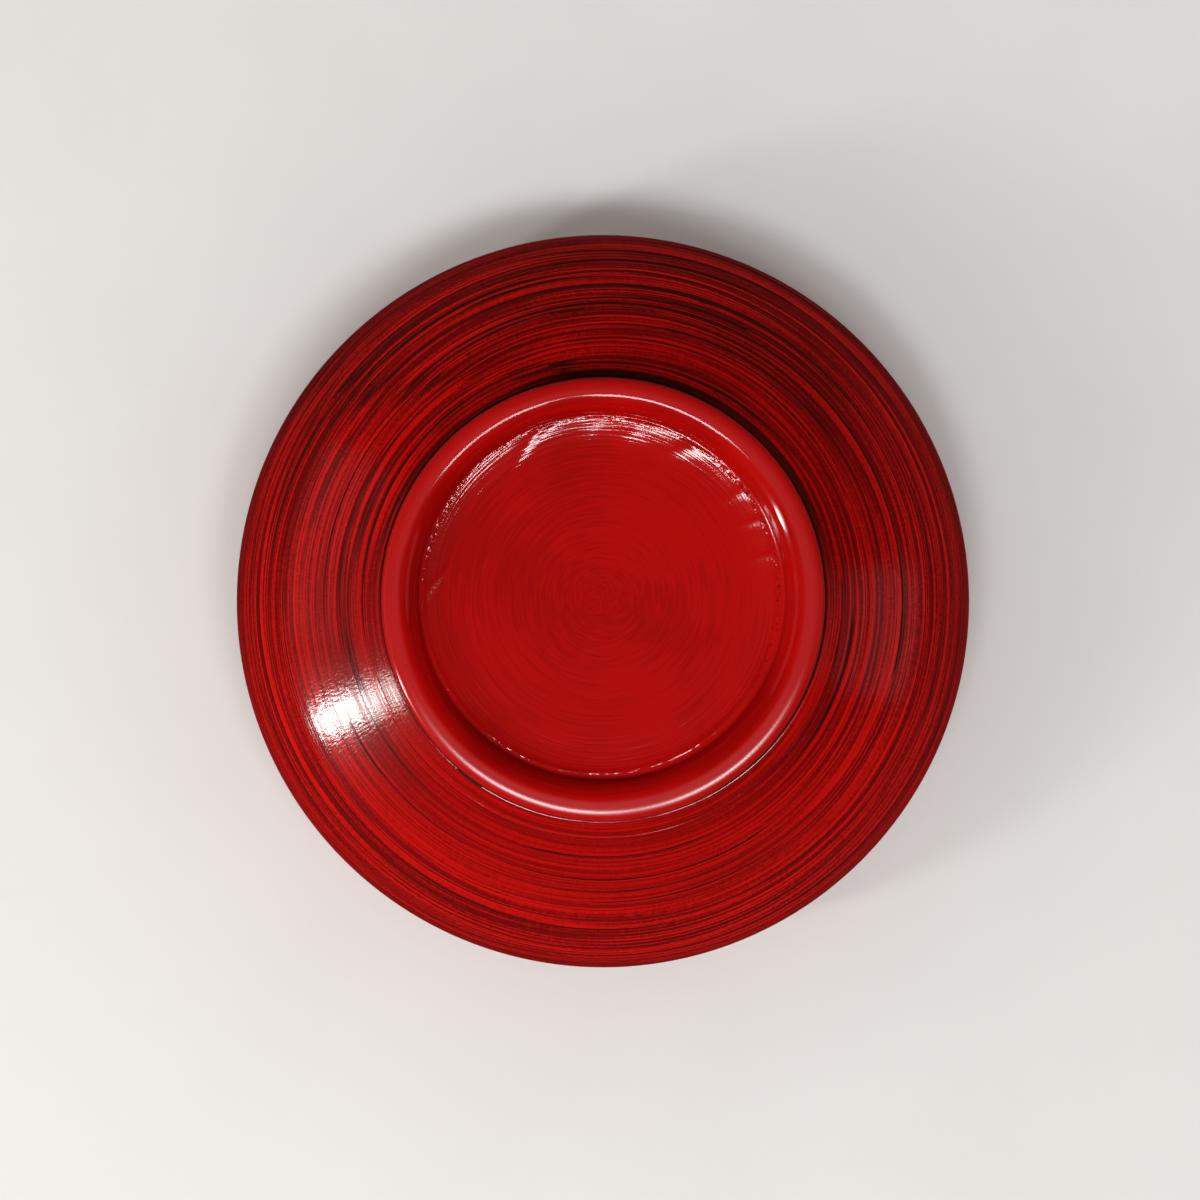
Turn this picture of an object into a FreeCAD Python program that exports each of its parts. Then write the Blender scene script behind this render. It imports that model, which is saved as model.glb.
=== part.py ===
"""Turned wooden bowl with a glued foot ring, lacquered red over a black ground.

Frame: millimetres, +Z out of the mouth, origin at the centre of the foot's resting plane.
Every piece is turned, so each one is a half section in the (radius, height) plane swept about an
axis along Z. The inner side of the foot ring and the recess share an axis a little off the bowl's.
The finished skin is a chain of tangent arcs. A layer below it is the same chain at a depth, so
wood, ground coat and red coat lie face to face with no gap and no overlap.
"""

import FreeCAD, Part
import math
import os
from collections import namedtuple

# ---- driving dimensions of the finished bowl ----
WIDEST_RADIUS = 75.0
WIDEST_HEIGHT = 38.5
TOTAL_HEIGHT = 58.0
SHOULDER_START_RADIUS = 61.0    # where the flat underside turns into the shoulder
SLOPE_AT_FOOT = 22.0            # degrees that the underside rises beside the foot
SLOPE_AT_SHOULDER = 29.0        # degrees that it rises where the shoulder starts
UPPER_WALL_RADIUS = 60.0        # curve that brings the wall in above its widest height

INNER_WIDEST_RADIUS = 70.6
INNER_UPPER_RADIUS = 101.5
INNER_SHOULDER_RADIUS = 22.0
INNER_FLOOR_HEIGHT = 11.0

# ---- foot ring and the recess inside it ----
FOOT_RADIUS = 43.5
FOOT_OUTER_ROUND = 1.4
FOOT_FACE_CURVE = 5.0           # gentle curve of the ring's face, inside that round
FOOT_FACE_SLOPE = 18.0          # degrees that the face rises where the round starts
FOOT_FLAT_WIDTH = 0.6           # the resting face, as wide as this on average
FOOT_INNER_ROUND = 4.2          # rolls from the resting face to the wall of the recess
RECESS_HEIGHT = 5.6
INNER_OFFSET = (-0.25, -0.43)   # axis that the ring's inner side and the recess are turned about

# ---- coats ----
RED_COAT = 0.2
GROUND_COAT = 0.3
FOOT_RED_COAT = 0.15
FOOT_GROUND_COAT = 0.15
BARE_GROUND_WIDTH = 1.5         # black ground left bare on the body beside the foot
BEAD_WIDTH = 7.2                # lacquer that pooled round the edge of the recess
BEAD_SLOPE = 9.0                # degrees that its hollow face has reached beside the wall
BEAD_FILLET = 0.8               # its tight curve up the wall

# ---- seat of the foot ring in the body ----
SEAT_DEPTH = 2.4                # how far the ring is let in past the face of the pad it goes round
GLUE_THICKNESS = 0.1

OUT, IN = 1, -1                 # an arc bulges out of the material, or is hollowed into it
Arc = namedtuple("Arc", "centre radius bulge start end")


def sine(degrees):
    return math.sin(math.radians(degrees))


def cosine(degrees):
    return math.cos(math.radians(degrees))


# ---- values that follow from the dimensions ----
BODY_COATS = RED_COAT + GROUND_COAT
FOOT_COATS = FOOT_RED_COAT + FOOT_GROUND_COAT
FOOT_FACE_WIDTH = (FOOT_FACE_CURVE * sine(FOOT_FACE_SLOPE)
                   + FOOT_OUTER_ROUND * (1 - sine(FOOT_FACE_SLOPE)))
FOOT_FLAT_OUTER = FOOT_RADIUS - FOOT_FACE_WIDTH
FOOT_FLAT_INNER = FOOT_FLAT_OUTER - FOOT_FLAT_WIDTH
RECESS_RADIUS = FOOT_FLAT_INNER - FOOT_INNER_ROUND
RING_RADIUS = FOOT_RADIUS - FOOT_COATS
RING_BORE_RADIUS = RECESS_RADIUS + FOOT_COATS
SPIGOT_RADIUS = RING_BORE_RADIUS - GLUE_THICKNESS
GROOVE_RADIUS = RING_RADIUS + GLUE_THICKNESS
PAD_HEIGHT = RECESS_HEIGHT + FOOT_COATS
SEAT_HEIGHT = PAD_HEIGHT + SEAT_DEPTH
RING_TOP = SEAT_HEIGHT - GLUE_THICKNESS
BEAD_INNER_RADIUS = RECESS_RADIUS - BEAD_WIDTH


def on_arc(arc, angle, depth):
    """The (radius, height) point at an angle of an arc, at a depth below the finished skin."""
    reach = arc.radius - arc.bulge * depth
    return (arc.centre[0] + reach * cosine(angle), arc.centre[1] + reach * sine(angle))


def angle_at_radius(arc, radius, depth):
    """The angle, on the arc's lower half, at which it stands at a radius from the axis."""
    reach = arc.radius - arc.bulge * depth
    return -math.degrees(math.acos((radius - arc.centre[0]) / reach))


def lip_circle(outer_centre, inner_centre):
    """Centre and radius of the rounded lip, tangent to both walls and to the top plane."""
    low, high = 0.5, 4.0
    for _ in range(60):
        size = (low + high) / 2
        height = TOTAL_HEIGHT - size
        reach = UPPER_WALL_RADIUS - size
        radius = outer_centre[0] + math.sqrt(reach**2 - (height - outer_centre[1])**2)
        gap = math.dist((radius, height), inner_centre) - INNER_UPPER_RADIUS - size
        low, high = (size, high) if gap > 0 else (low, size)
    return (radius, height), size


def bearing(start, end):
    """Direction from one point to another, in degrees above the horizontal."""
    return math.degrees(math.atan2(end[1] - start[1], end[0] - start[0]))


def finished_skin():
    """Arcs of the bowl's outside, from the foot to the top of the lip, and of its inside."""
    shoulder_radius = (WIDEST_RADIUS - SHOULDER_START_RADIUS) / (1 - sine(SLOPE_AT_SHOULDER))
    shoulder_centre = (WIDEST_RADIUS - shoulder_radius, WIDEST_HEIGHT)
    underside_radius = (SHOULDER_START_RADIUS - FOOT_RADIUS) / (
        sine(SLOPE_AT_SHOULDER) - sine(SLOPE_AT_FOOT))
    between = underside_radius - shoulder_radius
    underside_centre = (shoulder_centre[0] - between * sine(SLOPE_AT_SHOULDER),
                        shoulder_centre[1] + between * cosine(SLOPE_AT_SHOULDER))
    upper_centre = (WIDEST_RADIUS - UPPER_WALL_RADIUS, WIDEST_HEIGHT)

    inner_upper_centre = (INNER_WIDEST_RADIUS - INNER_UPPER_RADIUS, WIDEST_HEIGHT)
    inner_shoulder_centre = (INNER_WIDEST_RADIUS - INNER_SHOULDER_RADIUS, WIDEST_HEIGHT)
    drop = WIDEST_HEIGHT - INNER_SHOULDER_RADIUS - INNER_FLOOR_HEIGHT
    floor_slope = 2 * math.degrees(math.atan(drop / inner_shoulder_centre[0]))
    floor_radius = INNER_SHOULDER_RADIUS + inner_shoulder_centre[0] / sine(floor_slope)
    floor_centre = (0.0, INNER_FLOOR_HEIGHT + floor_radius)

    lip_centre, lip_radius = lip_circle(upper_centre, inner_upper_centre)
    outer_tangent = bearing(upper_centre, lip_centre)
    inner_tangent = bearing(inner_upper_centre, lip_centre)
    outside = [
        Arc(underside_centre, underside_radius, OUT, SLOPE_AT_FOOT - 90, SLOPE_AT_SHOULDER - 90),
        Arc(shoulder_centre, shoulder_radius, OUT, SLOPE_AT_SHOULDER - 90, 0.0),
        Arc(upper_centre, UPPER_WALL_RADIUS, OUT, 0.0, outer_tangent),
        Arc(lip_centre, lip_radius, OUT, outer_tangent, 90.0),
    ]
    inside = [
        Arc(lip_centre, lip_radius, OUT, 90.0, 180.0 + inner_tangent),
        Arc(inner_upper_centre, INNER_UPPER_RADIUS, IN, inner_tangent, 0.0),
        Arc(inner_shoulder_centre, INNER_SHOULDER_RADIUS, IN, 0.0, floor_slope - 90),
        Arc(floor_centre, floor_radius, IN, floor_slope - 90, -90.0),
    ]
    return outside, inside


def foot_skin():
    """Arcs of the foot ring's outer side and of its inner side, which meet at the resting face."""
    between = FOOT_FACE_CURVE - FOOT_OUTER_ROUND
    face_centre = (FOOT_FLAT_OUTER, FOOT_FACE_CURVE)
    round_centre = (face_centre[0] + between * sine(FOOT_FACE_SLOPE),
                    face_centre[1] - between * cosine(FOOT_FACE_SLOPE))
    outer_side = [
        Arc(round_centre, FOOT_OUTER_ROUND, OUT, 0.0, FOOT_FACE_SLOPE - 90),
        Arc(face_centre, FOOT_FACE_CURVE, OUT, FOOT_FACE_SLOPE - 90, -90.0),
    ]
    inner_side = [
        Arc((FOOT_FLAT_INNER, FOOT_INNER_ROUND), FOOT_INNER_ROUND, OUT, -90.0, -180.0),
    ]
    return outer_side, inner_side


def started_at(chain, radius, depth):
    """The chain with its first arc starting at a radius from the axis, measured at a depth."""
    first = chain[0]._replace(start=angle_at_radius(chain[0], radius, depth))
    return [first] + chain[1:]


def points_along(chain, depth):
    """Each arc of a chain at a depth, as its start, middle and end points."""
    return [[on_arc(arc, angle, depth)
             for angle in (arc.start, (arc.start + arc.end) / 2, arc.end)]
            for arc in chain]


def place(point):
    return FreeCAD.Vector(point[0], 0.0, point[1])


def edges_of(spans):
    """Edges through spans of two points (a line) or three (an arc), joined end to end by lines."""
    edges, last = [], None
    for span in spans + [spans[0][:1]]:
        if last and math.dist(last, span[0]) > 1e-6:
            edges.append(Part.LineSegment(place(last), place(span[0])).toShape())
        if len(span) == 3:
            edges.append(Part.Arc(*map(place, span)).toShape())
        elif len(span) == 2:
            edges.append(Part.LineSegment(*map(place, span)).toShape())
        last = span[-1]
    return edges


def turned(spans, offset=(0.0, 0.0)):
    """The closed solid that a half section sweeps about Z, or about an axis off it."""
    face = Part.Face(Part.Wire(edges_of(spans)))
    solid = face.revolve(FreeCAD.Vector(0, 0, 0), FreeCAD.Vector(0, 0, 1), 360)
    if solid.ShapeType != "Solid":
        solid = Part.Solid(solid.Shells[0])
    if solid.Volume < 0:
        solid.reverse()
    solid.translate(FreeCAD.Vector(*offset, 0))
    return solid


def cylinder(radius, low, high, offset=(0.0, 0.0)):
    return Part.makeCylinder(radius, high - low, FreeCAD.Vector(*offset, low))


def joined(solids):
    """One solid from solids that touch face to face."""
    return solids[0].fuse(solids[1:]).removeSplitter().Solids[0]


def under_resting_face(low, high):
    """The part between the ring's outer side and its inner side, whose axes differ."""
    inside = cylinder(FOOT_FLAT_INNER, low, high, INNER_OFFSET)
    return cylinder(FOOT_FLAT_OUTER, low, high).cut(inside)


def reversed_spans(spans):
    return [span[::-1] for span in reversed(spans)]


def coat(upper_chain, upper_depth, lower_chain, lower_depth):
    """A coat between two depths of the skin."""
    upper = points_along(upper_chain, upper_depth)
    return turned(upper + reversed_spans(points_along(lower_chain, lower_depth)))


def bowl_body(outside, inside):
    """The wooden bowl, with a pad and a groove under it for the foot ring."""
    outer = points_along(started_at(outside, GROOVE_RADIUS, BODY_COATS), BODY_COATS)
    inner = points_along(inside, BODY_COATS)
    bowl = turned(outer + inner + [[(0.0, SEAT_HEIGHT), (GROOVE_RADIUS, SEAT_HEIGHT)]])
    return joined([bowl, cylinder(SPIGOT_RADIUS, PAD_HEIGHT, SEAT_HEIGHT, INNER_OFFSET)])


def foot_ring(outer_side, inner_side):
    """The wooden ring, whose plain upper part is let into the body's groove."""
    outer_face = points_along(outer_side, FOOT_COATS)
    inner_face = points_along(inner_side, FOOT_COATS)
    return joined([
        turned(outer_face + [[(FOOT_FLAT_OUTER, RING_TOP), (RING_RADIUS, RING_TOP)]]),
        under_resting_face(FOOT_COATS, RING_TOP),
        turned(inner_face + [[(RING_BORE_RADIUS, RING_TOP), (FOOT_FLAT_INNER, RING_TOP)]],
               INNER_OFFSET),
    ])


def glue_line(outside):
    """Glue on the two walls and the top of the ring's seat."""
    under_body = on_arc(outside[0], angle_at_radius(outside[0], GROOVE_RADIUS, BODY_COATS),
                        BODY_COATS)
    outer_wall_and_top = turned([
        [(RING_RADIUS, under_body[1]), under_body],
        [(GROOVE_RADIUS, SEAT_HEIGHT), (0.0, SEAT_HEIGHT)],
        [(0.0, RING_TOP), (RING_RADIUS, RING_TOP)],
    ])
    pad = cylinder(SPIGOT_RADIUS, PAD_HEIGHT, SEAT_HEIGHT, INNER_OFFSET)
    bore = cylinder(RING_BORE_RADIUS, PAD_HEIGHT, RING_TOP, INNER_OFFSET)
    return joined([outer_wall_and_top.cut(pad), bore.cut(pad)])


def foot_coat(outer_side, inner_side, outside, upper_depth, lower_depth):
    """A coat of the foot ring, which runs up its outer wall and its inner one to the body's wood."""
    meeting = angle_at_radius(outside[0], FOOT_RADIUS, BODY_COATS)
    top = on_arc(outside[0], meeting, BODY_COATS)[1]
    tops = [(FOOT_RADIUS - lower_depth, top), (FOOT_RADIUS - upper_depth, top)]
    inner_tops = [(RECESS_RADIUS + upper_depth, PAD_HEIGHT), (RECESS_RADIUS + lower_depth, PAD_HEIGHT)]
    outer_coat = turned(points_along(outer_side, upper_depth)
                        + reversed_spans(points_along(outer_side, lower_depth)) + [tops])
    inner_coat = turned(points_along(inner_side, upper_depth) + [inner_tops]
                        + reversed_spans(points_along(inner_side, lower_depth)), INNER_OFFSET)
    return joined([outer_coat, under_resting_face(upper_depth, lower_depth), inner_coat])


def recess_coat(upper_depth, lower_depth):
    """A coat on the flat of the recess, as far as the pooled lacquer."""
    return cylinder(BEAD_INNER_RADIUS, RECESS_HEIGHT + upper_depth, RECESS_HEIGHT + lower_depth,
                    INNER_OFFSET)


def corner_bead():
    """Lacquer pooled round the edge of the recess: it thickens outwards and curves up the wall."""
    join_radius = RECESS_RADIUS - BEAD_FILLET * (1 - sine(BEAD_SLOPE))
    size = (join_radius - BEAD_INNER_RADIUS) / sine(BEAD_SLOPE)
    pool = Arc((BEAD_INNER_RADIUS, RECESS_HEIGHT - size), size, OUT, 90.0, 90 - BEAD_SLOPE)
    between = size - BEAD_FILLET
    fillet_centre = (BEAD_INNER_RADIUS + between * sine(BEAD_SLOPE),
                     pool.centre[1] + between * cosine(BEAD_SLOPE))
    fillet = Arc(fillet_centre, BEAD_FILLET, OUT, 90 - BEAD_SLOPE, 0.0)
    return turned(points_along([pool, fillet], 0.0) + [
        [(RECESS_RADIUS, PAD_HEIGHT), (BEAD_INNER_RADIUS, PAD_HEIGHT)],
    ], INNER_OFFSET)


def build():
    """Every piece by its name."""
    outside, inside = finished_skin()
    outer_side, inner_side = foot_skin()
    red_start = FOOT_RADIUS + BARE_GROUND_WIDTH
    return {
        "turned_bowl_body": bowl_body(outside, inside),
        "turned_foot_ring": foot_ring(outer_side, inner_side),
        "foot_glue_line": glue_line(outside),
        "outer_ground_coat": coat(
            started_at(outside, FOOT_RADIUS, RED_COAT), RED_COAT,
            started_at(outside, FOOT_RADIUS, BODY_COATS), BODY_COATS),
        "outer_red_coat": coat(
            started_at(outside, red_start, 0.0), 0.0,
            started_at(outside, red_start, RED_COAT), RED_COAT),
        "inner_ground_coat": coat(inside, RED_COAT, inside, BODY_COATS),
        "inner_red_coat": coat(inside, 0.0, inside, RED_COAT),
        "foot_ground_coat": foot_coat(
            outer_side, inner_side, outside, FOOT_RED_COAT, FOOT_COATS),
        "foot_red_coat": foot_coat(outer_side, inner_side, outside, 0.0, FOOT_RED_COAT),
        "recess_ground_coat": recess_coat(FOOT_RED_COAT, FOOT_COATS),
        "recess_red_coat": recess_coat(0.0, FOOT_RED_COAT),
        "recess_corner_bead": corner_bead(),
    }


def main():
    os.makedirs("parts", exist_ok=True)
    for name, solid in build().items():
        solid.exportStep(f"parts/{name}.step")
        print(f"{name:20s} valid {solid.isValid()}  volume {solid.Volume:10.1f} mm3")


main()
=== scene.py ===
"""Looks for the red lacquered bowl: brushed coats, plain foot and recess, studio stage and lights.

The bowl stands upright in its own frame, and the camera looks up at its underside along +Z. A picture
angle is counted anticlockwise from the picture's right, so at an angle a lies (cos a, -sin a) in XY.
"""

import bmesh
import bpy
import math
import numpy as np
from mathutils import Matrix, Vector


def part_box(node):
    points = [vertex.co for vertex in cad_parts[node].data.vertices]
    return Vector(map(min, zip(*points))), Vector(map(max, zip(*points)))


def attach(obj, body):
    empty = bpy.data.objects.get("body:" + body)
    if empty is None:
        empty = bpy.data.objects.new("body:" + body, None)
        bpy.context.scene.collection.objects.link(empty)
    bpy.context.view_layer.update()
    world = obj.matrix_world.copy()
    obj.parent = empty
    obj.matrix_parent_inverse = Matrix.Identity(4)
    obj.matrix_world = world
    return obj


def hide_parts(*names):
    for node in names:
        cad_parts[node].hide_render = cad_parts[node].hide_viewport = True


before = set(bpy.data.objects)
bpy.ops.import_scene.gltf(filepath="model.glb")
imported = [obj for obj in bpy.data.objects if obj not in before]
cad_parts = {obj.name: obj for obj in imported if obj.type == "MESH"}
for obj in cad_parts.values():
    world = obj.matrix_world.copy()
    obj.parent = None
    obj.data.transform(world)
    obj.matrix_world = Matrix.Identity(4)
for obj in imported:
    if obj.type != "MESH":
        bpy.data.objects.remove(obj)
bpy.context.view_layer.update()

MM = 0.001
COAT = 0.2 * MM                 # red coat on the body
FOOT_COAT = 0.15 * MM           # red coat on the foot and in its recess

# ---- what the frame gives ----
RIM_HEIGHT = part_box("outer_red_coat")[1].z
BELLY_HEIGHT = 0.66 * RIM_HEIGHT
FOOT_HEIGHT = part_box("foot_red_coat")[1].z
RECESS_LOW, RECESS_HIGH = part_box("recess_red_coat")
RECESS_HEIGHT = RECESS_LOW.z
RECESS_RADIUS = (RECESS_HIGH.x - RECESS_LOW.x) / 2
RECESS_AXIS = (RECESS_LOW + RECESS_HIGH) / 2    # the recess is turned a little off the bowl's axis
BEAD_LOW, BEAD_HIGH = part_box("recess_corner_bead")
CORNER_RADIUS = (BEAD_HIGH.x - BEAD_LOW.x) / 2
foot_corners = [corner.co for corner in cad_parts["foot_red_coat"].data.vertices]
crest = [corner for corner in foot_corners if corner.z < 0.001 * MM]      # the foot rests on these
CREST_INNER = min((corner - RECESS_AXIS).to_2d().length for corner in crest)
CREST_OUTER = max(corner.to_2d().length for corner in crest)

# ---- colours, linear ----
RED_LIGHT = (0.56, 0.0024, 0.0011)
RED_DEEP = (0.12, 0.0008, 0.0005)
RED_PLAIN = (0.47, 0.0020, 0.0010)
RED_PLAIN_DEEP = (0.35, 0.0013, 0.0007)
GROUND = (0.006, 0.0015, 0.0012)
GROUND_BROWN = (0.065, 0.0060, 0.0030)
# grains on the wrinkled ring: partly brown specks, partly painted shade in its wrinkles
WRINKLE_SPECK_AND_SHADE = (0.15, 0.006, 0.003)
WOOD_DARK, WOOD_LIGHT = (0.30, 0.17, 0.085), (0.52, 0.34, 0.19)
GLUE_DARK, GLUE_LIGHT = (0.28, 0.18, 0.07), (0.45, 0.32, 0.15)
FLOOR_TINT = (1.0, 0.985, 0.96)

# ---- the wrinkled ring in the recess ----
WRINKLE_GAP = 1.25              # it lies this far inside the corner bead's edge, in millimetres
WRINKLE_OFF = 0.55              # and this much nearer to that edge on one side and farther opposite
WRINKLE_SIDE = 120              # picture angle of that side

WORN_SIDE = 272                 # picture angle of the side where the foot's crest is satin

# ---- the outer coat's edge beside the foot ----
BARE_EDGE = 0.85                # it reaches this far past the edge of the CAD coat, in millimetres
BARE_THIN = 0.38                # and this much farther where the seam is thin
SEAM_RIDGES = ((0.30, 1.1), (3.6, 0.7))     # raised rings: millimetres from the coat's edge, height
SLIT_ANGLE = 233                # picture angle of an open slit in it
SLIT_HALF = 4.8                 # half the slit's length, in degrees
SLIT_WIDTH = 0.50 * MM

# ---- how the brushing went round, as picture angles in degrees ----
DARK_SIDE = 70                  # the combing is darkest on this side
LIFT_ANGLE = 144.0              # the brush was lifted here, at the middle of its run
LIFT_SLANT = 50.0               # and this much earlier beside the foot
LEAD_START = 50.0               # it had been led towards the foot from here on
LEAD = 2.9 * MM                 # by this much

# ---- how a CAD profile is read ----
SURE_AREA = 1e-6 * MM**2        # a smaller face has no sure direction
LEAST_AWAY = 0.05               # least cosine at which a face counts as looking away
KNOT_GAP = 0.25 * MM            # nearer corners are taken as one
WALL_SPAN = 1.3 * MM            # on the foot, a longer span is a straight wall
WALL_POINTS = 12                # which gets this many points


# ---------------------------------------------------------------- profiles read from the frame

class Profile:
    """Half section of the visible skin of a turned CAD node, as a smooth line measured along."""

    def __init__(self, node, inside, side=1, foot=False):
        """The skin that faces away from a (radius, height) point, or with side -1 towards it.

        With foot, what lies inside the foot's crest is measured from the recess's own axis, and a
        long span is a straight wall.
        """
        self.side = side
        self.foot = foot
        points = self.skin_points(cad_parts[node].data, np.array(inside))
        gaps = np.hypot(*np.diff(points, axis=0).T)
        self.knots = np.concatenate([[0], np.cumsum(gaps)])
        self.length = self.knots[-1]
        self.points = points
        self.bend = self.spline_bend(gaps)

    def own_radius(self, corner):
        """Distance of a corner from the axis that it was turned about, and that axis."""
        off_axis = (corner - RECESS_AXIS).to_2d().length
        if self.foot and off_axis < CREST_INNER + 0.03 * MM:
            return off_axis, RECESS_AXIS
        return corner.to_2d().length, Vector((0, 0, 0))

    def skin_points(self, mesh, centre):
        """Corners of the faces that look away from the centre, in order round it."""
        found = set()
        for face in mesh.polygons:
            if face.area <= SURE_AREA:
                continue
            radius, axis = self.own_radius(face.center)
            outward = (face.center - axis).to_2d().dot(face.normal.to_2d()) / max(radius, 1e-9)
            gap = (radius - centre[0], face.center.z - centre[1])
            away = (gap[0] * outward + gap[1] * face.normal.z) / math.hypot(*gap)
            if away * self.side > LEAST_AWAY:
                for index in face.vertices:
                    corner = mesh.vertices[index].co
                    found.add((round(self.own_radius(corner)[0], 6), round(corner.z, 6)))
        return self.spaced(
            sorted(found, key=lambda point: math.atan2(point[1] - centre[1], point[0] - centre[0])))

    def spaced(self, points):
        """The same line without corners that nearly coincide, and with points along a straight wall."""
        kept = [points[0]]
        for point in points[1:-1]:
            if math.dist(point, kept[-1]) > KNOT_GAP:
                kept.append(point)
        if math.dist(kept[-1], points[-1]) < KNOT_GAP:
            kept.pop()
        kept.append(points[-1])
        for end in range(len(kept) - 1, 0, -1):
            if self.foot and math.dist(kept[end - 1], kept[end]) > WALL_SPAN:
                wall = np.linspace(kept[end - 1], kept[end], WALL_POINTS)
                kept[end:end] = wall[1:-1].tolist()
        return np.array(kept)

    def spline_bend(self, gaps):
        """Second derivatives of the natural cubic spline through the points."""
        count = len(self.points)
        system, right = np.eye(count), np.zeros((count, 2))
        slopes = np.diff(self.points, axis=0) / gaps[:, None]
        for knot in range(1, count - 1):
            before, after = gaps[knot - 1], gaps[knot]
            system[knot, knot - 1:knot + 2] = before, 2 * (before + after), after
            right[knot] = 6 * (slopes[knot] - slopes[knot - 1])
        return np.linalg.solve(system, right)

    def at(self, along):
        """(radius, height) at distances along the line, in an array of any shape."""
        along = np.asarray(along, float)
        before = np.clip(np.searchsorted(self.knots, along) - 1, 0, len(self.knots) - 2)
        gap = self.knots[before + 1] - self.knots[before]
        place = 0.0
        far_share = (along - self.knots[before]) / gap
        for knot, share in ((before, 1 - far_share), (before + 1, far_share)):
            share = share[..., None]
            bulge = (share**3 - share) * gap[..., None]**2 / 6
            place = place + share * self.points[knot] + bulge * self.bend[knot]
        return place

    def sunk(self, along, depth):
        """(radius, height) at a depth below the skin."""
        nudge = 0.02 * MM
        tangent = self.at(along + nudge) - self.at(along - nudge)
        tangent /= np.linalg.norm(tangent, axis=-1)[..., None]
        normal = np.stack([tangent[..., 1], -tangent[..., 0]], axis=-1) * self.side
        return self.at(along) - normal * np.asarray(depth)[..., None]


# ---------------------------------------------------------------- fields over (along, around)

def step(value, low, high):
    """A smooth step from 0 at low to 1 at high."""
    share = np.clip((value - low) / (high - low), 0, 1)
    return share * share * (3 - 2 * share)


class Turn:
    """The columns of points that go round the axis, and smooth random fields over them."""

    def __init__(self, columns):
        self.columns = columns
        self.around = np.arange(columns) * 2 * math.pi / columns     # object azimuth of each column
        self.picture = np.degrees(-self.around) % 360                # the same as a picture angle

    def off(self, angle):
        """Difference of each column from a picture angle, in degrees, between -180 and 180."""
        return (self.picture - angle + 180) % 360 - 180

    def wave(self, rng, strength, orders=6):
        """Smooth random waviness, one value for each column."""
        total = np.zeros(self.columns)
        for order in range(1, orders + 1):
            total += rng.normal() / order * np.cos(order * self.around + rng.uniform(0, 2 * math.pi))
        return strength * total / np.abs(total).max()

    def stroke(self, along, path, width, middle, reach, taper=7.0):
        """One long thin arc, 1 at its heart: its path in each column, and its reach in degrees."""
        ends = step(reach - np.abs(self.off(middle)), 0, taper)
        return np.exp(-((along - path[None, :]) / width)**2) * ends[None, :]

    def points(self, section, foot=False):
        """(rows, columns, 2) of radius and height as points in space, about the bowl's axis.

        With foot, what lies inside the foot's crest is set about the recess's own axis.
        """
        radius, height = section[..., 0], section[..., 1]
        share = np.clip((CREST_OUTER - radius) / (CREST_OUTER - CREST_INNER), 0, 1) * foot
        return np.stack([radius * np.cos(self.around) + share * RECESS_AXIS.x,
                         radius * np.sin(self.around) + share * RECESS_AXIS.y, height], axis=-1)

    def rows(self, values):
        """One value a row, repeated for every column."""
        return np.repeat(np.asarray(values, float)[:, None], self.columns, axis=1)


def roughened(rng, shape, cell):
    """Random values of -1 to 1 over a field, smoothed over cells of (rows, columns)."""
    values = rng.uniform(-1, 1, shape)
    for axis, size in enumerate(cell):
        kernel = np.hanning(2 * size + 3)[1:-1]
        values = np.apply_along_axis(
            lambda line: np.convolve(np.tile(line, 3), kernel, "same")[len(line):2 * len(line)],
            axis, values)
    return values / np.abs(values).max()


# ---------------------------------------------------------------- meshes

def solid_of_rows(name, rows, poles=()):
    """A closed mesh from rings of points: it wraps round in section, or ends in two poles."""
    rows = np.asarray(rows)
    count, columns = rows.shape[:2]
    corners = rows.reshape(-1, 3).tolist() + [tuple(pole) for pole in poles]
    faces = []
    for row in range(count - 1 if poles else count):
        here, following = row * columns, ((row + 1) % count) * columns
        for column in range(columns):
            beside = (column + 1) % columns
            faces.append((here + column, here + beside, following + beside, following + column))
    if poles:
        first_pole, last_row = count * columns, (count - 1) * columns
        for column in range(columns):
            beside = (column + 1) % columns
            faces.append((first_pole, beside, column))
            faces.append((first_pole + 1, last_row + column, last_row + beside))
    mesh = bpy.data.meshes.new(name)
    mesh.from_pydata(corners, [], faces)
    built = bmesh.new()
    built.from_mesh(mesh)
    bmesh.ops.recalc_face_normals(built, faces=built.faces)
    built.to_mesh(mesh)
    built.free()
    mesh.shade_smooth()
    mesh.set_sharp_from_angle(angle=math.radians(50))
    piece = bpy.data.objects.new(name, mesh)
    bpy.context.scene.collection.objects.link(piece)
    return piece


def stands_for(piece, nodes, material, fields):
    """Gives a piece its fields, material and body, and hides the CAD nodes that it stands for."""
    for name, values in fields.items():
        flat = np.zeros(len(piece.data.vertices), np.float32)
        flat[:values.size] = values.ravel()
        piece.data.attributes.new(name, "FLOAT", "POINT").data.foreach_set("value", flat)
    piece.data.materials.append(material)
    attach(piece, "root")
    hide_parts(*nodes)
    return piece


# ---------------------------------------------------------------- node helpers

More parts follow.
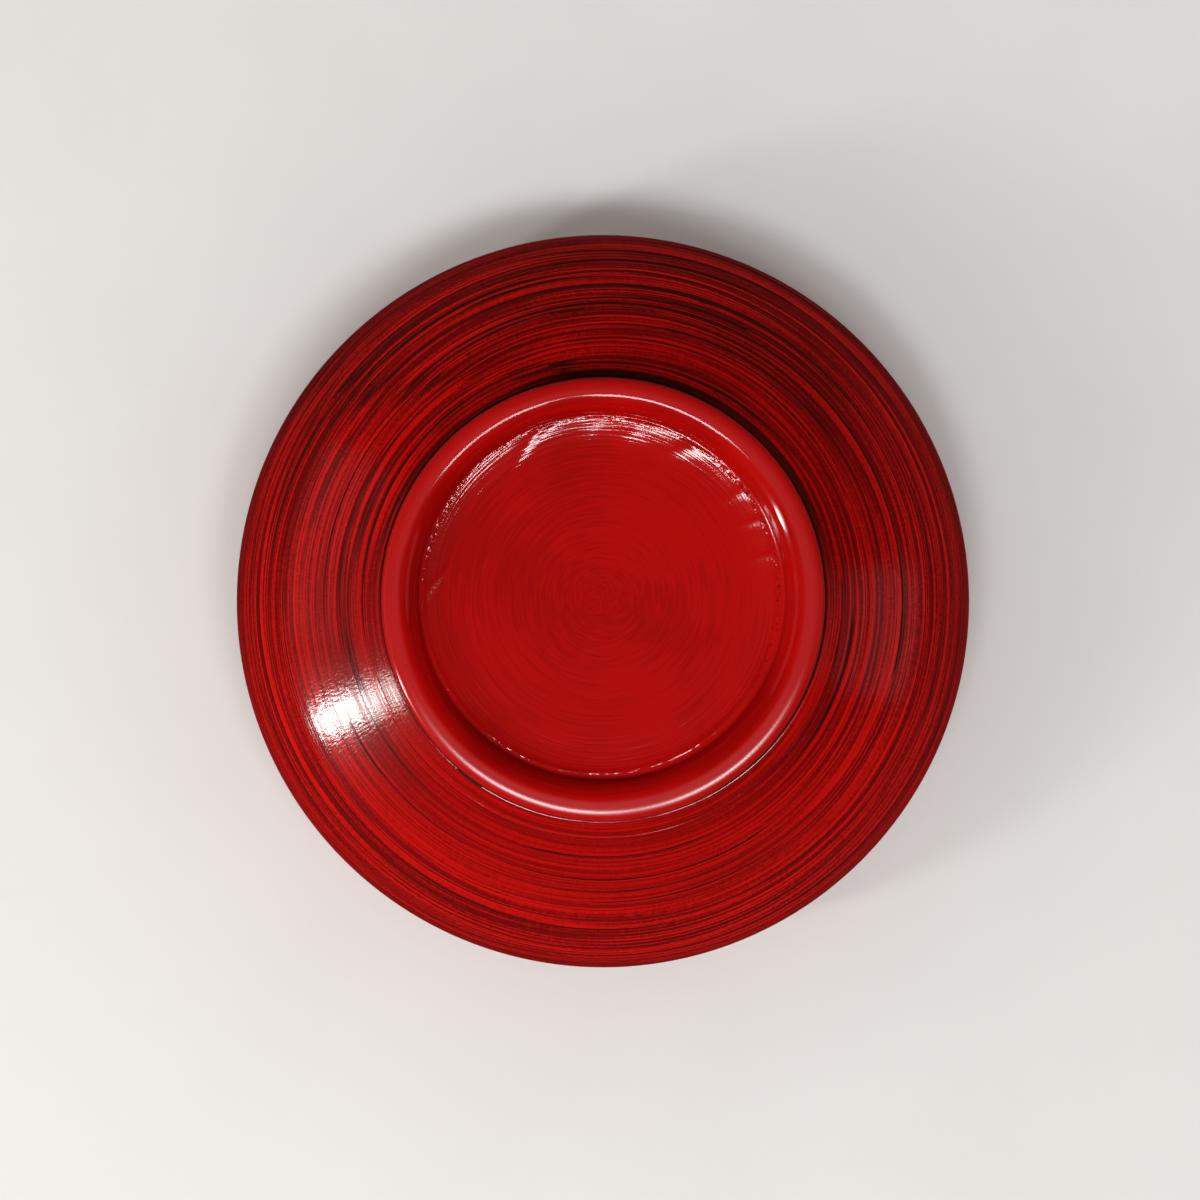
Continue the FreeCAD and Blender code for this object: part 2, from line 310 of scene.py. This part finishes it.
class Shader:
    """A material's node tree, with one short call for each kind of node."""

    def __init__(self, name):
        self.material = bpy.data.materials.new(name)
        self.material.use_nodes = True
        self.tree = self.material.node_tree
        self.bsdf = self.tree.nodes["Principled BSDF"]

    def put(self, socket, value):
        """Links an output to a socket, or gives the socket a colour or a number."""
        if isinstance(value, bpy.types.NodeSocket):
            self.tree.links.new(value, socket)
        elif socket.type == "RGBA":
            socket.default_value = (*value, 1.0)
        else:
            socket.default_value = value

    def node(self, kind, inputs, **settings):
        """A new node with its settings and its first inputs; its first output comes back."""
        made = self.tree.nodes.new(kind)
        for name, value in settings.items():
            setattr(made, name, value)
        for socket, value in zip(made.inputs, inputs):
            self.put(socket, value)
        return made.outputs[0]

    def set(self, **inputs):
        """Sets the main shader's inputs, whose names have _ for a space."""
        for name, value in inputs.items():
            self.put(self.bsdf.inputs[name.replace("_", " ")], value)

    def math(self, operation, a, b=0.0, c=0.0):
        return self.node("ShaderNodeMath", (a, b, c), operation=operation)

    def times(self, a, b, c=0.0):
        """a times b, plus c."""
        return self.math("MULTIPLY_ADD", a, b, c)

    def sum(self, *terms):
        """The sum of (value, weight) terms."""
        total = 0.0
        for value, weight in terms:
            total = self.times(value, weight, total)
        return total

    def smooth(self, value, low, high, start=0.0, end=1.0):
        """Goes smoothly from start, where the value is low, to end, where it is high."""
        return self.node("ShaderNodeMapRange", (value, low, high, start, end),
                         interpolation_type="SMOOTHSTEP")

    def mix(self, share, a, b):
        """Colour a where the share is 0, and b where it is 1."""
        made = self.tree.nodes.new("ShaderNodeMix")
        made.data_type = "RGBA"
        factor, first, second, result = 0, 6, 7, 2      # the sockets of a colour mix
        self.put(made.inputs[factor], share)
        self.put(made.inputs[first], a)
        self.put(made.inputs[second], b)
        return made.outputs[result]

    def attribute(self, name):
        made = self.tree.nodes.new("ShaderNodeAttribute")
        made.attribute_name = name
        return made.outputs["Fac"]

    def position(self):
        return self.tree.nodes.new("ShaderNodeTexCoord").outputs["Object"]

    def split(self, vector):
        made = self.tree.nodes.new("ShaderNodeSeparateXYZ")
        self.put(made.inputs[0], vector)
        return made.outputs

    def noise(self, vector, scale=1.0, detail=2.0, roughness=0.5):
        made = self.tree.nodes.new("ShaderNodeTexNoise")
        self.put(made.inputs["Vector"], vector)
        made.inputs["Scale"].default_value = scale
        made.inputs["Detail"].default_value = detail
        made.inputs["Roughness"].default_value = roughness
        return made.outputs["Fac"]

    def carve(self, height, distance, strength):
        """Relief of the skin and of its clear coat."""
        made = self.tree.nodes.new("ShaderNodeBump")
        made.inputs["Strength"].default_value = strength
        made.inputs["Distance"].default_value = distance
        self.put(made.inputs["Height"], height)
        self.set(Normal=made.outputs[0], Coat_Normal=made.outputs[0])


class RoundShader(Shader):
    """A shader in round terms: unit direction from an axis, and millimetres from it."""

    def __init__(self, name, axis=(0.0, 0.0, 0.0)):
        super().__init__(name)
        x, y, _ = self.split(self.position())
        x, y = self.math("SUBTRACT", x, axis[0]), self.math("SUBTRACT", y, axis[1])
        radius = self.math("SQRT", self.times(x, x, self.math("MULTIPLY", y, y)))
        safe = self.math("MAXIMUM", radius, 1e-5)
        self.east = self.math("DIVIDE", x, safe)
        self.north = self.math("DIVIDE", y, safe)
        self.across = self.times(radius, 1 / MM)

    def picture_angle(self):
        """Degrees from 0 to 360."""
        south = self.math("MULTIPLY", self.north, -1.0)
        turned = self.math("WRAP", self.math("ARCTAN2", south, self.east), 2 * math.pi, 0.0)
        return self.times(turned, 180 / math.pi)

    def towards(self, picture_angle):
        """1 on the side at a picture angle, -1 opposite."""
        angle = math.radians(picture_angle)
        return self.times(self.east, math.cos(angle), self.times(self.north, -math.sin(angle)))

    def rings(self, around, per_mm, seed, detail=2.0, roughness=0.5):
        """Noise drawn out round the axis: cells about 1/around radians long and 1/per_mm wide."""
        vector = self.node("ShaderNodeCombineXYZ", (self.times(self.east, around),
                                                    self.times(self.north, around),
                                                    self.times(self.across, per_mm, 31.7 * seed)))
        return self.noise(vector, 1.0, detail, roughness)


# ---------------------------------------------------------------- materials

def lifted_rings(look, grit):
    """Where the brush was lifted, rings that had been led towards the foot stop and others start.

    Moves the look's rings to the led ones before the lift, and returns how much the red was combed
    away and where the colour gathered at the stop.
    """
    ragged = look.times(look.rings(0.3, 1.7, 6), 50.0, look.times(grit, 6.0, -28.0))
    past = look.math("SUBTRACT", look.picture_angle(), look.attribute("lift"))
    beyond = look.math("ADD", ragged, past)
    before = look.smooth(beyond, -0.6, 0.6, 1.0, 0.0)
    gathered = look.math("MULTIPLY", before, look.smooth(beyond, -10.0, -1.0))
    look.across = look.times(look.attribute("lead_mm"), before, look.across)
    after = look.attribute("combed_after")
    combed = look.times(look.math("SUBTRACT", look.attribute("combed"), after), before, after)
    return combed, gathered


def brushed_lacquer(name, lifted):
    """Red lacquer brushed and combed in rings, so that the black ground shows in streaks.

    The lifted one is the outside. It has a dark and a calm side and a seam with the foot, and it is satin
    from just under the belly up, where the bowl is handled. The other is the inside, calm at its centre.
    """
    look = RoundShader(name)
    grit = look.noise(look.position(), 3400.0, 2.0)
    shake = look.noise(look.position(), 700.0, 2.0)
    look.across = look.attribute("along_mm")
    beside_foot = look.smooth(look.times(shake, 1.2, look.across), -0.2, 2.2, 1.0, 0.0)
    combed, gathered = look.attribute("combed"), 0.0
    if lifted:
        combed, gathered = lifted_rings(look, grit)
    look.across = look.times(grit, 0.10, look.times(shake, 0.20, look.across))
    lines = look.rings(0.6, 1.6, 1, detail=3.0, roughness=0.6)
    fine = look.rings(1.2, 4.5, 2)
    band = look.rings(0.7, 0.45, 3)
    hatch = look.rings(110.0, 0.9, 7)
    amount = look.sum((lines, 0.75), (fine, 0.30), (band, 0.35), (hatch, 0.12), (combed, 0.36),
                      (gathered, 0.12))
    calm = 0.0
    if lifted:
        side = look.towards(DARK_SIDE)
        calm = look.math("MULTIPLY", look.smooth(side, -0.8, 0.0, 1.0, 0.0),
                         look.smooth(look.across, 14.0, 25.0, 1.0, 0.0))
        by_foot = look.math("MULTIPLY", beside_foot, look.times(side, 0.09, 0.05))
        amount = look.sum((amount, 1.0), (side, 0.03), (calm, -0.04), (by_foot, 1.0))
    else:
        amount = look.math("SUBTRACT", amount, look.smooth(look.across, 2.0, 12.0, 0.15, 0.0))
    dark = look.smooth(amount, 0.86, 0.95)
    tone = look.sum((look.rings(0.8, 1.7, 4, detail=3.0, roughness=0.65), 0.65), (fine, 0.22),
                    (hatch, 0.13))
    light = look.smooth(tone, 0.44, 0.60)
    red = look.mix(look.times(light, look.times(calm, -0.45, 1.0), look.times(calm, 0.22)),
                   RED_DEEP, RED_LIGHT)
    ground = look.mix(look.times(beside_foot, 0.85, grit), GROUND, GROUND_BROWN)
    gloss = look.times(dark, -0.75, 1.0)
    relief = look.sum((lines, 0.6), (fine, 0.5), (hatch, 0.5), (dark, -0.2))
    if lifted:
        height = look.split(look.position())[2]
        handled = look.smooth(height, BELLY_HEIGHT - 16 * MM, BELLY_HEIGHT - 4 * MM, 1.0, 0.15)
        gloss = look.math("MULTIPLY", handled, gloss)
        for place, rise in SEAM_RIDGES:
            off = look.math("ABSOLUTE", look.times(look.attribute("from_edge_mm"), 1.0, -place))
            relief = look.math("ADD", relief, look.smooth(off, 0.0, 0.24, rise, 0.0))
    look.set(Base_Color=look.mix(dark, red, ground))
    look.set(Roughness=0.30, Specular_IOR_Level=0.07, Coat_Weight=gloss)
    look.set(Coat_Roughness=look.sum((grit, 0.10), (dark, 0.02), (1.0, 0.03)))
    look.carve(relief, 0.045 * MM, 0.8)
    return look.material


def plain_lacquer(name, rings_per_mm, brush, rough):
    """Plain red lacquer with fine brush rings; brush is how strongly they show.

    Near the wrinkled ring it pooled, where its gloss is as rough as given, and on that ring it is
    grainy, with brown grains that are strongest on the side where its wrinkles catch the window: partly
    specks and partly painted shade in the wrinkles. The foot's crest and outer face are painted a
    lighter red, a painted highlight. The foot's crest is worn: satin on one side, and with less of its
    gloss just inside it on the other.
    """
    look = RoundShader(name, RECESS_AXIS)
    grain = look.noise(look.position(), 1700.0, 2.0)
    wrinkled = look.times(look.towards(WRINKLE_SIDE), WRINKLE_OFF, CORNER_RADIUS / MM - WRINKLE_GAP)
    gap = look.math("ABSOLUTE", look.math("SUBTRACT", look.across, wrinkled))
    in_wrinkle = look.smooth(gap, 0.2, 1.0, 1.0, 0.0)
    shake = look.noise(look.position(), 500.0, 2.0)
    look.across = look.times(shake, 0.25, look.across)
    rings = look.rings(2.2, rings_per_mm, 5, detail=1.5)
    hatch = look.rings(70.0, 1.0, 8)
    cloud = look.noise(look.position(), 45.0, 3.0)
    crest_mm = CREST_INNER / MM
    on_crest = look.smooth(look.across, crest_mm - 1.0, crest_mm)
    inside_crest = look.smooth(look.across, crest_mm - 2.2, crest_mm - 1.2)
    worn = look.math("MULTIPLY", on_crest, look.smooth(look.towards(WORN_SIDE), 0.1, 0.6))
    dull = look.math("MULTIPLY", inside_crest, look.smooth(look.towards(WORN_SIDE - 180), 0.1, 0.6))
    # The foot's crest and outer face are painted a lighter red than the recess: a painted highlight where
    # the ring faces the light.
    share = look.sum((rings, 0.45), (cloud, 0.55), (on_crest, 0.12))
    red = look.mix(look.smooth(share, 0.36, 0.60), RED_PLAIN_DEEP, RED_PLAIN)
    # Brown grains on the wrinkled ring, strongest where its wrinkles catch the window: partly specks,
    # partly painted shade.
    one_side = look.smooth(look.towards(DARK_SIDE), -0.7, 0.3, 0.25, 1.0)
    speck_and_shade_zone = look.math("MULTIPLY", in_wrinkle, one_side)
    speck_and_wrinkle_shade = look.math("MULTIPLY", speck_and_shade_zone, look.smooth(grain, 0.54, 0.66))
    look.set(Base_Color=look.mix(speck_and_wrinkle_shade, red, WRINKLE_SPECK_AND_SHADE), Roughness=0.50)
    look.set(Specular_IOR_Level=look.sum((1.0, 0.03), (on_crest, 0.12), (worn, -0.09)))
    look.set(Coat_Weight=look.sum((1.0, 1.0), (speck_and_wrinkle_shade, -0.4), (dull, -0.45)))
    pooled = look.smooth(gap, 1.0, 9.0, rough, 0.02)
    look.set(Coat_Roughness=look.sum((pooled, 1.0), (worn, 0.15), (in_wrinkle, -0.06), (cloud, 0.04)))
    strength = look.smooth(gap, 1.0, 13.0, brush, 0.2 * brush)
    relief = look.math("MULTIPLY", strength, look.times(hatch, 0.3, rings))
    look.carve(look.times(grain, look.times(in_wrinkle, 1.3), relief), 0.05 * MM, 0.8)
    return look.material


def black_ground(name):
    """Satin black undercoat with a trace of brown."""
    look = RoundShader(name)
    rings = look.rings(1.5, 2.5, 6, detail=3.0)
    look.set(Base_Color=look.mix(rings, GROUND, GROUND_BROWN))
    look.set(Roughness=look.times(rings, 0.25, 0.30), Specular_IOR_Level=0.15)
    look.carve(rings, 0.04 * MM, 0.6)
    return look.material


def turned_wood(name):
    """Turned hardwood, which the coats hide."""
    look = Shader(name)
    x, y, z = look.split(look.position())
    along, across = 25.0, 260.0         # cells a metre, with the grain and across it
    scaled = (look.times(x, along), look.times(y, across), look.times(z, across))
    grain = look.noise(look.node("ShaderNodeCombineXYZ", scaled), 1.0, 4.0)
    look.set(Base_Color=look.mix(look.smooth(grain, 0.3, 0.7), WOOD_DARK, WOOD_LIGHT))
    look.set(Roughness=look.times(grain, 0.2, 0.5))
    look.carve(grain, 0.05 * MM, 0.5)
    return look.material


def dried_glue(name):
    """Dried wood glue, which the coats hide."""
    look = Shader(name)
    lumps = look.noise(look.position(), 900.0, 3.0)
    look.set(Base_Color=look.mix(lumps, GLUE_DARK, GLUE_LIGHT))
    look.set(Roughness=look.times(lumps, 0.3, 0.4))
    look.carve(lumps, 0.05 * MM, 0.5)
    return look.material


# ---------------------------------------------------------------- the brushed coats

# The strongest streaks of black, in millimetres from the foot's edge of the coat along the skin, with
# a half width, the middle picture angle and the half length in degrees, and a strength of 0 to 1.
MAIN_STREAKS = [
    (27.5, 0.18, 60, 84, 1.0), (26.6, 0.15, 50, 90, 0.9), (25.3, 0.16, 80, 60, 0.9),
    (24.2, 0.20, 40, 95, 0.8), (22.8, 0.18, 90, 52, 0.7), (20.4, 0.24, 70, 72, 0.9),
    (19.8, 0.20, 60, 60, 0.8), (18.9, 0.24, 30, 60, 0.8), (17.6, 0.18, 100, 42, 0.8),
    (16.2, 0.24, 62, 80, 1.0), (15.2, 0.16, 90, 48, 0.8), (11.6, 0.22, 20, 60, 0.6),
    (8.0, 0.22, 60, 42, 0.6), (16.9, 0.18, 258, 104, 0.85), (27.3, 0.16, 230, 96, 0.7),
    (28.6, 0.16, 330, 60, 0.6), (10.2, 0.50, 300, 60, 0.4), (5.0, 0.60, 290, 70, 0.35),
    (22.5, 0.35, 330, 40, 0.5), (1.6, 0.50, 40, 110, 0.6), (3.4, 0.30, 80, 60, 0.6),
    (31.5, 0.18, 0, 70, 0.5),
]


def combed_field(turn, along, length, seed, main):
    """How much the red was combed away, 0 to 1: the main streaks and many fine random ones."""
    rng = np.random.default_rng(seed)
    field = np.zeros(along.shape)
    for place, width, middle, reach, strength in main:
        path = place * MM + turn.wave(rng, 0.12 * MM)
        field = np.maximum(field, strength * turn.stroke(along, path, width * MM, middle, reach))
    for _ in range(190):
        path = rng.uniform(0, length) + turn.wave(rng, 0.18 * MM)
        thin = rng.uniform(0.12, 0.26) * MM
        one = turn.stroke(along, path, thin, rng.uniform(0, 360), rng.uniform(15, 110))
        field = np.maximum(field, rng.uniform(0.15, 0.6) * one)
    broken = 0.72 + 0.45 * roughened(rng, along.shape, (1, 2))
    return np.clip(field * broken, 0, 1)


def coat_depth(turn, along, length, seed, combed):
    """How far the coat's skin lies under its even face: streaks, and the ridges of the turning."""
    rng = np.random.default_rng(seed)
    ridges = np.zeros(along.shape)
    for _ in range(60):
        path = rng.uniform(0, length) + turn.wave(rng, 0.2 * MM, 3)
        one = turn.stroke(along, path, rng.uniform(0.4, 1.2) * MM, rng.uniform(0, 360), 179, 1.0)
        ridges += rng.choice((-1, 1)) * rng.uniform(0.4, 1.0) * one
    depth = 0.022 * MM * combed + 0.022 * MM * (1.5 + np.clip(ridges, -1.5, 1.5))
    ends = step(along, 0.0, 0.6 * MM) * step(length - along, 0.0, 0.8 * MM)
    return np.maximum(depth * ends, 0.0)


def brush_lift(turn, along, length):
    """Picture angle at which the brush was lifted, and how far it had been led to the foot."""
    share = np.clip(along / length, 0, 1)
    lift = LIFT_ANGLE - LIFT_SLANT * np.clip(1 - share / 0.32, 0, 1)**2
    led = np.clip((turn.picture - LEAD_START) / (lift - LEAD_START), 0, 1.25)**2
    led = np.where(turn.picture < lift + 30, led, 0.0)
    return lift, led * LEAD * step(share, 0.0, 0.15)


def outer_coat(material):
    """The brushed coat outside, from its wandering edge beside the foot to the top of the lip."""
    skin = Profile("outer_red_coat", (0.0, 0.030))
    turn, rows, back_rows = Turn(192), 470, 10
    thin_seam = step(np.abs(turn.off(DARK_SIDE)), 85, 125)
    edge_wave = turn.wave(np.random.default_rng(2), 0.14 * MM, 12)
    even_start = edge_wave - MM * (BARE_EDGE + BARE_THIN * thin_seam)
    start = even_start + SLIT_WIDTH * step(SLIT_HALF - np.abs(turn.off(SLIT_ANGLE)), 0.0, 2.2)
    share = np.linspace(0, 1, rows)[:, None]
    along = start[None, :] + share * (skin.length - start[None, :])
    lift, lead = brush_lift(turn, along, skin.length)
    combed = combed_field(turn, along + lead, skin.length, 11, MAIN_STREAKS)
    after = combed_field(turn, along, skin.length, 11, MAIN_STREAKS)
    shown = np.where(turn.picture < lift, combed, after)
    depth = coat_depth(turn, along, skin.length, 12, shown)
    back_share = np.linspace(1, 0, back_rows)[:, None]
    back = start[None, :] + back_share * (skin.length - start[None, :])
    section = np.concatenate([skin.sunk(along, depth), skin.sunk(back, np.full(back.shape, COAT))])
    piece = solid_of_rows("outer_lacquer", turn.points(section))
    fields = {"along_mm": along / MM, "from_edge_mm": (along - even_start[None, :]) / MM,
              "lead_mm": lead / MM, "lift": lift, "combed": combed, "combed_after": after}
    return stands_for(piece, ["outer_red_coat"], material, fields)


def inner_coat(material):
    """The brushed coat inside, from the floor's centre to the top of the lip."""
    skin = Profile("inner_red_coat", (0.0, 0.200), -1)
    turn, rows, back_rows = Turn(192), 450, 26
    along = turn.rows(np.linspace(0.4 * MM, skin.length, rows))
    combed = combed_field(turn, along, skin.length, 23, [])
    depth = coat_depth(turn, along, skin.length, 24, combed)
    back = turn.rows(np.linspace(skin.length, 1.0 * MM, back_rows))
    floor = skin.at(0.0)[1]
    section = np.concatenate([skin.sunk(along, depth), skin.sunk(back, np.full(back.shape, COAT))])
    poles = [(0, 0, floor), (0, 0, floor - COAT)]
    piece = solid_of_rows("inner_lacquer", turn.points(section), poles)
    return stands_for(piece, ["inner_red_coat"], material,
                      {"along_mm": along / MM, "combed": combed})


# ---------------------------------------------------------------- the plain coats of the foot

# Folds where the pooled lacquer wrinkled as it dried: picture angle at the wrinkled ring, half width in
# degrees, height, and slant in degrees for each millimetre inward.
FOLDS = [(14, 1.2, 0.3, 0.0), (26, 1.5, 0.4, 0.3), (37, 2.0, 0.4, 0.2), (57, 4.2, 0.8, 1.8),
         (76, 4.0, 0.75, 1.2), (92, 3.4, 0.55, 1.0), (109, 4.0, 0.9, 3.0), (84, 34.0, 0.35, 0.0),
         (181, 2.2, 0.5, -2.6), (232, 3.0, 0.2, 0.5), (296, 3.0, 0.25, 0.4)]


def wrinkles(turn, radius):
    """Height of the wrinkled pool of lacquer over the recess and the foot of its wall.

    It is a ragged ring of small wrinkles, a little off centre, with folds that run in from it.
    """
    rng = np.random.default_rng(31)
    nearer = WRINKLE_OFF * np.cos(np.radians(turn.off(WRINKLE_SIDE)))
    edge = CORNER_RADIUS + MM * (nearer - WRINKLE_GAP) + turn.wave(rng, 0.15 * MM, 24)
    small = np.zeros(radius.shape)
    for _ in range(60):
        orders, per_mm = int(rng.integers(40, 200)), rng.uniform(-7.0, 7.0)
        small += np.cos(orders * turn.around[None, :] + per_mm * radius / MM + rng.uniform(0, 6.3))
    small /= np.abs(small).max()
    gap = (radius - edge[None, :]) / MM
    ridge = 0.85 - 0.5 * np.cos(np.radians(turn.off(90)))
    ragged = small * np.exp(-(gap / 0.5)**2) + ridge[None, :] * np.exp(-(gap / 0.35)**2)
    folded = np.full(radius.shape, -0.2)
    for angle, width, height, slant in FOLDS:
        off = (turn.off(angle)[None, :] + slant * gap) / width
        folded += height * np.exp(-off**2)
    inward = step(gap, -7.0, -0.3) * step(-gap, -0.5, 0.3)
    return 0.065 * MM * ragged + 0.28 * MM * folded * inward


def recess_coat(material):
    """The plain coat on the flat of the recess."""
    turn, rows = Turn(384), 110
    radius = turn.rows(np.linspace(0.4 * MM, RECESS_RADIUS, rows))
    rng = np.random.default_rng(41)
    rise = wrinkles(turn, radius)
    for _ in range(90):
        path = rng.uniform(0, RECESS_RADIUS) + turn.wave(rng, 0.5 * MM, 3)
        width, reach = rng.uniform(0.2, 0.6) * MM, rng.uniform(20, 150)
        one = turn.stroke(radius, path, width, rng.uniform(0, 360), reach, 12.0)
        rise += rng.choice((-1, 1)) * 0.006 * MM * one
    front = np.stack([radius, RECESS_HEIGHT - rise], axis=-1)
    back_radius = turn.rows(np.linspace(RECESS_RADIUS, 1.0 * MM, 12))
    deep = RECESS_HEIGHT + FOOT_COAT
    back = np.stack([back_radius, np.full(back_radius.shape, deep)], axis=-1)
    piece = solid_of_rows("recess_lacquer", turn.points(np.concatenate([front, back]), foot=True),
                          [(*RECESS_AXIS.xy, RECESS_HEIGHT), (*RECESS_AXIS.xy, deep)])
    return stands_for(piece, ["recess_red_coat"], material, {})


def corner_bead(material):
    """The pooled lacquer in the corner, with its folds and wrinkles."""
    far_above = (0.0, 100.0)
    skin = Profile("recess_corner_bead", far_above, foot=True)
    turn, rows, back_rows = Turn(576), 90, 8
    line = skin.at(turn.rows(np.linspace(0, skin.length, rows)))
    front = line - np.stack([np.zeros(line.shape[:2]), wrinkles(turn, line[..., 0])], axis=-1)
    back_radius = turn.rows(np.linspace(CORNER_RADIUS, RECESS_RADIUS, back_rows))
    back = np.stack([back_radius, np.full(back_radius.shape, BEAD_HIGH.z)], axis=-1)
    piece = solid_of_rows("corner_bead_lacquer",
                          turn.points(np.concatenate([front, back]), foot=True))
    return stands_for(piece, ["recess_corner_bead"], material, {})


def foot_coat(material):
    """The plain coat of the foot ring, slightly uneven."""
    over_ring = (CREST_INNER + 0.2 * MM, FOOT_HEIGHT + 0.5 * MM)
    skin = Profile("foot_red_coat", over_ring, foot=True)
    turn, rows, back_rows = Turn(576), 120, 16
    along = turn.rows(np.linspace(0, skin.length, rows))
    line = skin.at(along)
    rng = np.random.default_rng(47)
    uneven = 0.012 * MM * (1 + roughened(rng, along.shape, (6, 14))) + turn.wave(rng, 0.01 * MM, 5)
    clear = step(line[..., 1], 0.25 * MM, 1.2 * MM)
    front = skin.sunk(along, np.maximum(uneven, 0) * clear)
    front[..., 1] = np.maximum(front[..., 1], 0.0)
    back_along = turn.rows(np.linspace(skin.length, 0, back_rows))
    back = skin.sunk(back_along, np.full(back_along.shape, FOOT_COAT))
    piece = solid_of_rows("foot_lacquer", turn.points(np.concatenate([front, back]), foot=True))
    return stands_for(piece, ["foot_red_coat"], material, {})


def dress_cad_nodes(finishes):
    """Gives each of the CAD nodes that are shown as they are its material."""
    for node, material in finishes.items():
        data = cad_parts[node].data
        data.materials.clear()
        data.materials.append(material)


# ---------------------------------------------------------------- stage, lights, camera

def one_sided_floor(name, height, seen_from_above, shade):
    """A pale floor that shows from one side only, so that it never hides the bowl from the other.

    It fades into the backdrop far from the bowl.
    """
    bpy.ops.mesh.primitive_plane_add(size=8.0, location=(0, 0, height))
    floor = bpy.context.object
    floor.name = name
    look = RoundShader(name)
    mottle = look.noise(look.position(), 30.0, 3.0)
    light = [channel * shade for channel in FLOOR_TINT]
    look.set(Base_Color=look.mix(mottle, [0.94 * channel for channel in light], light))
    look.set(Roughness=0.75, Specular_IOR_Level=0.2)
    back = look.tree.nodes.new("ShaderNodeNewGeometry").outputs["Backfacing"]
    hidden = back if seen_from_above else look.math("SUBTRACT", 1.0, back)
    faded = look.smooth(look.across, 350.0, 1300.0)
    share = look.math("MAXIMUM", hidden, faded)
    clear = look.node("ShaderNodeBsdfTransparent", ())
    shown = look.node("ShaderNodeMixShader", (share, look.bsdf.outputs[0], clear))
    look.put(look.tree.nodes["Material Output"].inputs["Surface"], shown)
    floor.data.materials.append(look.material)
    floor.visible_shadow = False
    floor.visible_glossy = False
    return floor


def softbox(name, picture_angle, zenith, distance, size, power, colour=(1.0, 1.0, 1.0),
            shape="RECTANGLE"):
    """An area light aimed at the bowl; zenith is its angle from straight under the bowl."""
    angle, down = math.radians(picture_angle), math.radians(zenith)
    away = Vector((math.sin(down) * math.cos(angle), -math.sin(down) * math.sin(angle), -math.cos(down)))
    light = bpy.data.lights.new(name, "AREA")
    light.shape = shape
    light.size, light.size_y = size
    light.energy = power
    light.color = colour
    lamp = bpy.data.objects.new(name, light)
    lamp.location = Vector((0, 0, RIM_HEIGHT / 2)) + away * distance
    lamp.rotation_euler = (-away).to_track_quat("-Z", "Y").to_euler()
    lamp.visible_camera = False
    bpy.context.scene.collection.objects.link(lamp)
    return lamp


def light_studio():
    """Lights, told by where they stand in the camera's picture, and the backdrop.

    A narrow key is at the left, a window of two panes at the bottom, a weak fill at each side, and a box
    overhead lights the inside of the bowl.
    """
    warm, cool = (1.0, 0.98, 0.95), (0.97, 0.98, 1.0)
    softbox("key_halo", 203, 57, 0.95, (0.11, 0.46), 1.3, warm, "ELLIPSE")
    softbox("key_core", 203, 61, 0.94, (0.085, 0.21), 1.5, warm, "ELLIPSE")
    softbox("window_left", 251, 21, 1.30, (0.38, 0.22), 6.3, cool)
    softbox("window_right", 304, 21, 1.30, (0.32, 0.22), 4.4, cool)
    softbox("fill_left", 168, 62, 1.50, (0.90, 0.50), 0.25)
    softbox("fill_right", 354, 62, 1.50, (0.60, 0.50), 0.2)
    overhead = softbox("overhead", 215, 172, 1.30, (1.10, 1.10), 17.0)
    overhead.visible_glossy = False
    world = bpy.data.worlds.new("studio")
    world.use_nodes = True
    tree = world.node_tree
    rays = tree.nodes.new("ShaderNodeLightPath").outputs
    ambient, seen, reflected = 0.36, 0.78, 0.015        # strength by kind of ray
    level = None
    for kind, change in (("Is Camera Ray", seen - ambient), ("Is Glossy Ray", reflected - ambient)):
        term = tree.nodes.new("ShaderNodeMath")
        term.operation = "MULTIPLY_ADD"
        term.inputs[1].default_value = change
        term.inputs[2].default_value = ambient
        tree.links.new(rays[kind], term.inputs[0])
        if level is not None:
            tree.links.new(level, term.inputs[2])
        level = term.outputs[0]
    backdrop = tree.nodes["Background"]
    backdrop.inputs["Color"].default_value = (0.985, 0.98, 0.97, 1.0)
    tree.links.new(level, backdrop.inputs["Strength"])
    bpy.context.scene.world = world


def set_camera():
    """The camera looks up at the underside, a little off the axis towards the picture's bottom."""
    frame_width, lean = 0.246, math.radians(0.6)
    aim = Vector((-0.6 * MM, -0.2 * MM, BELLY_HEIGHT))
    data = bpy.data.cameras.new("camera")
    data.sensor_width = 36.0
    data.lens = 120.0
    distance = frame_width * data.lens / data.sensor_width
    right = Vector((1, 0, 0))
    back = Vector((0, math.sin(lean), -math.cos(lean)))
    camera = bpy.data.objects.new("camera", data)
    turned = Matrix((right, back.cross(right), back)).transposed().to_4x4()
    camera.matrix_world = Matrix.Translation(aim + back * distance) @ turned
    bpy.context.scene.collection.objects.link(camera)
    bpy.context.scene.camera = camera


# ---------------------------------------------------------------- build

outer_coat(brushed_lacquer("brushed_lacquer_outside", lifted=True))
inner_coat(brushed_lacquer("brushed_lacquer_inside", lifted=False))
foot_coat(plain_lacquer("plain_lacquer_foot", rings_per_mm=1.6, brush=0.15, rough=0.08))
recess_finish = plain_lacquer("plain_lacquer_recess", rings_per_mm=2.2, brush=1.7, rough=0.10)
recess_coat(recess_finish)
corner_bead(recess_finish)
ground_finish = black_ground("black_ground")
wood_finish = turned_wood("turned_wood")
dress_cad_nodes({
    "outer_ground_coat": ground_finish,
    "inner_ground_coat": ground_finish,
    "foot_ground_coat": ground_finish,
    "recess_ground_coat": ground_finish,
    "turned_bowl_body": wood_finish,
    "turned_foot_ring": wood_finish,
    "foot_glue_line": dried_glue("dried_glue"),
})
one_sided_floor("floor_under_foot", 0.0, True, 0.47)
one_sided_floor("floor_under_rim", RIM_HEIGHT, False, 0.62)
light_studio()
set_camera()
bpy.context.scene.view_settings.view_transform = "Standard"
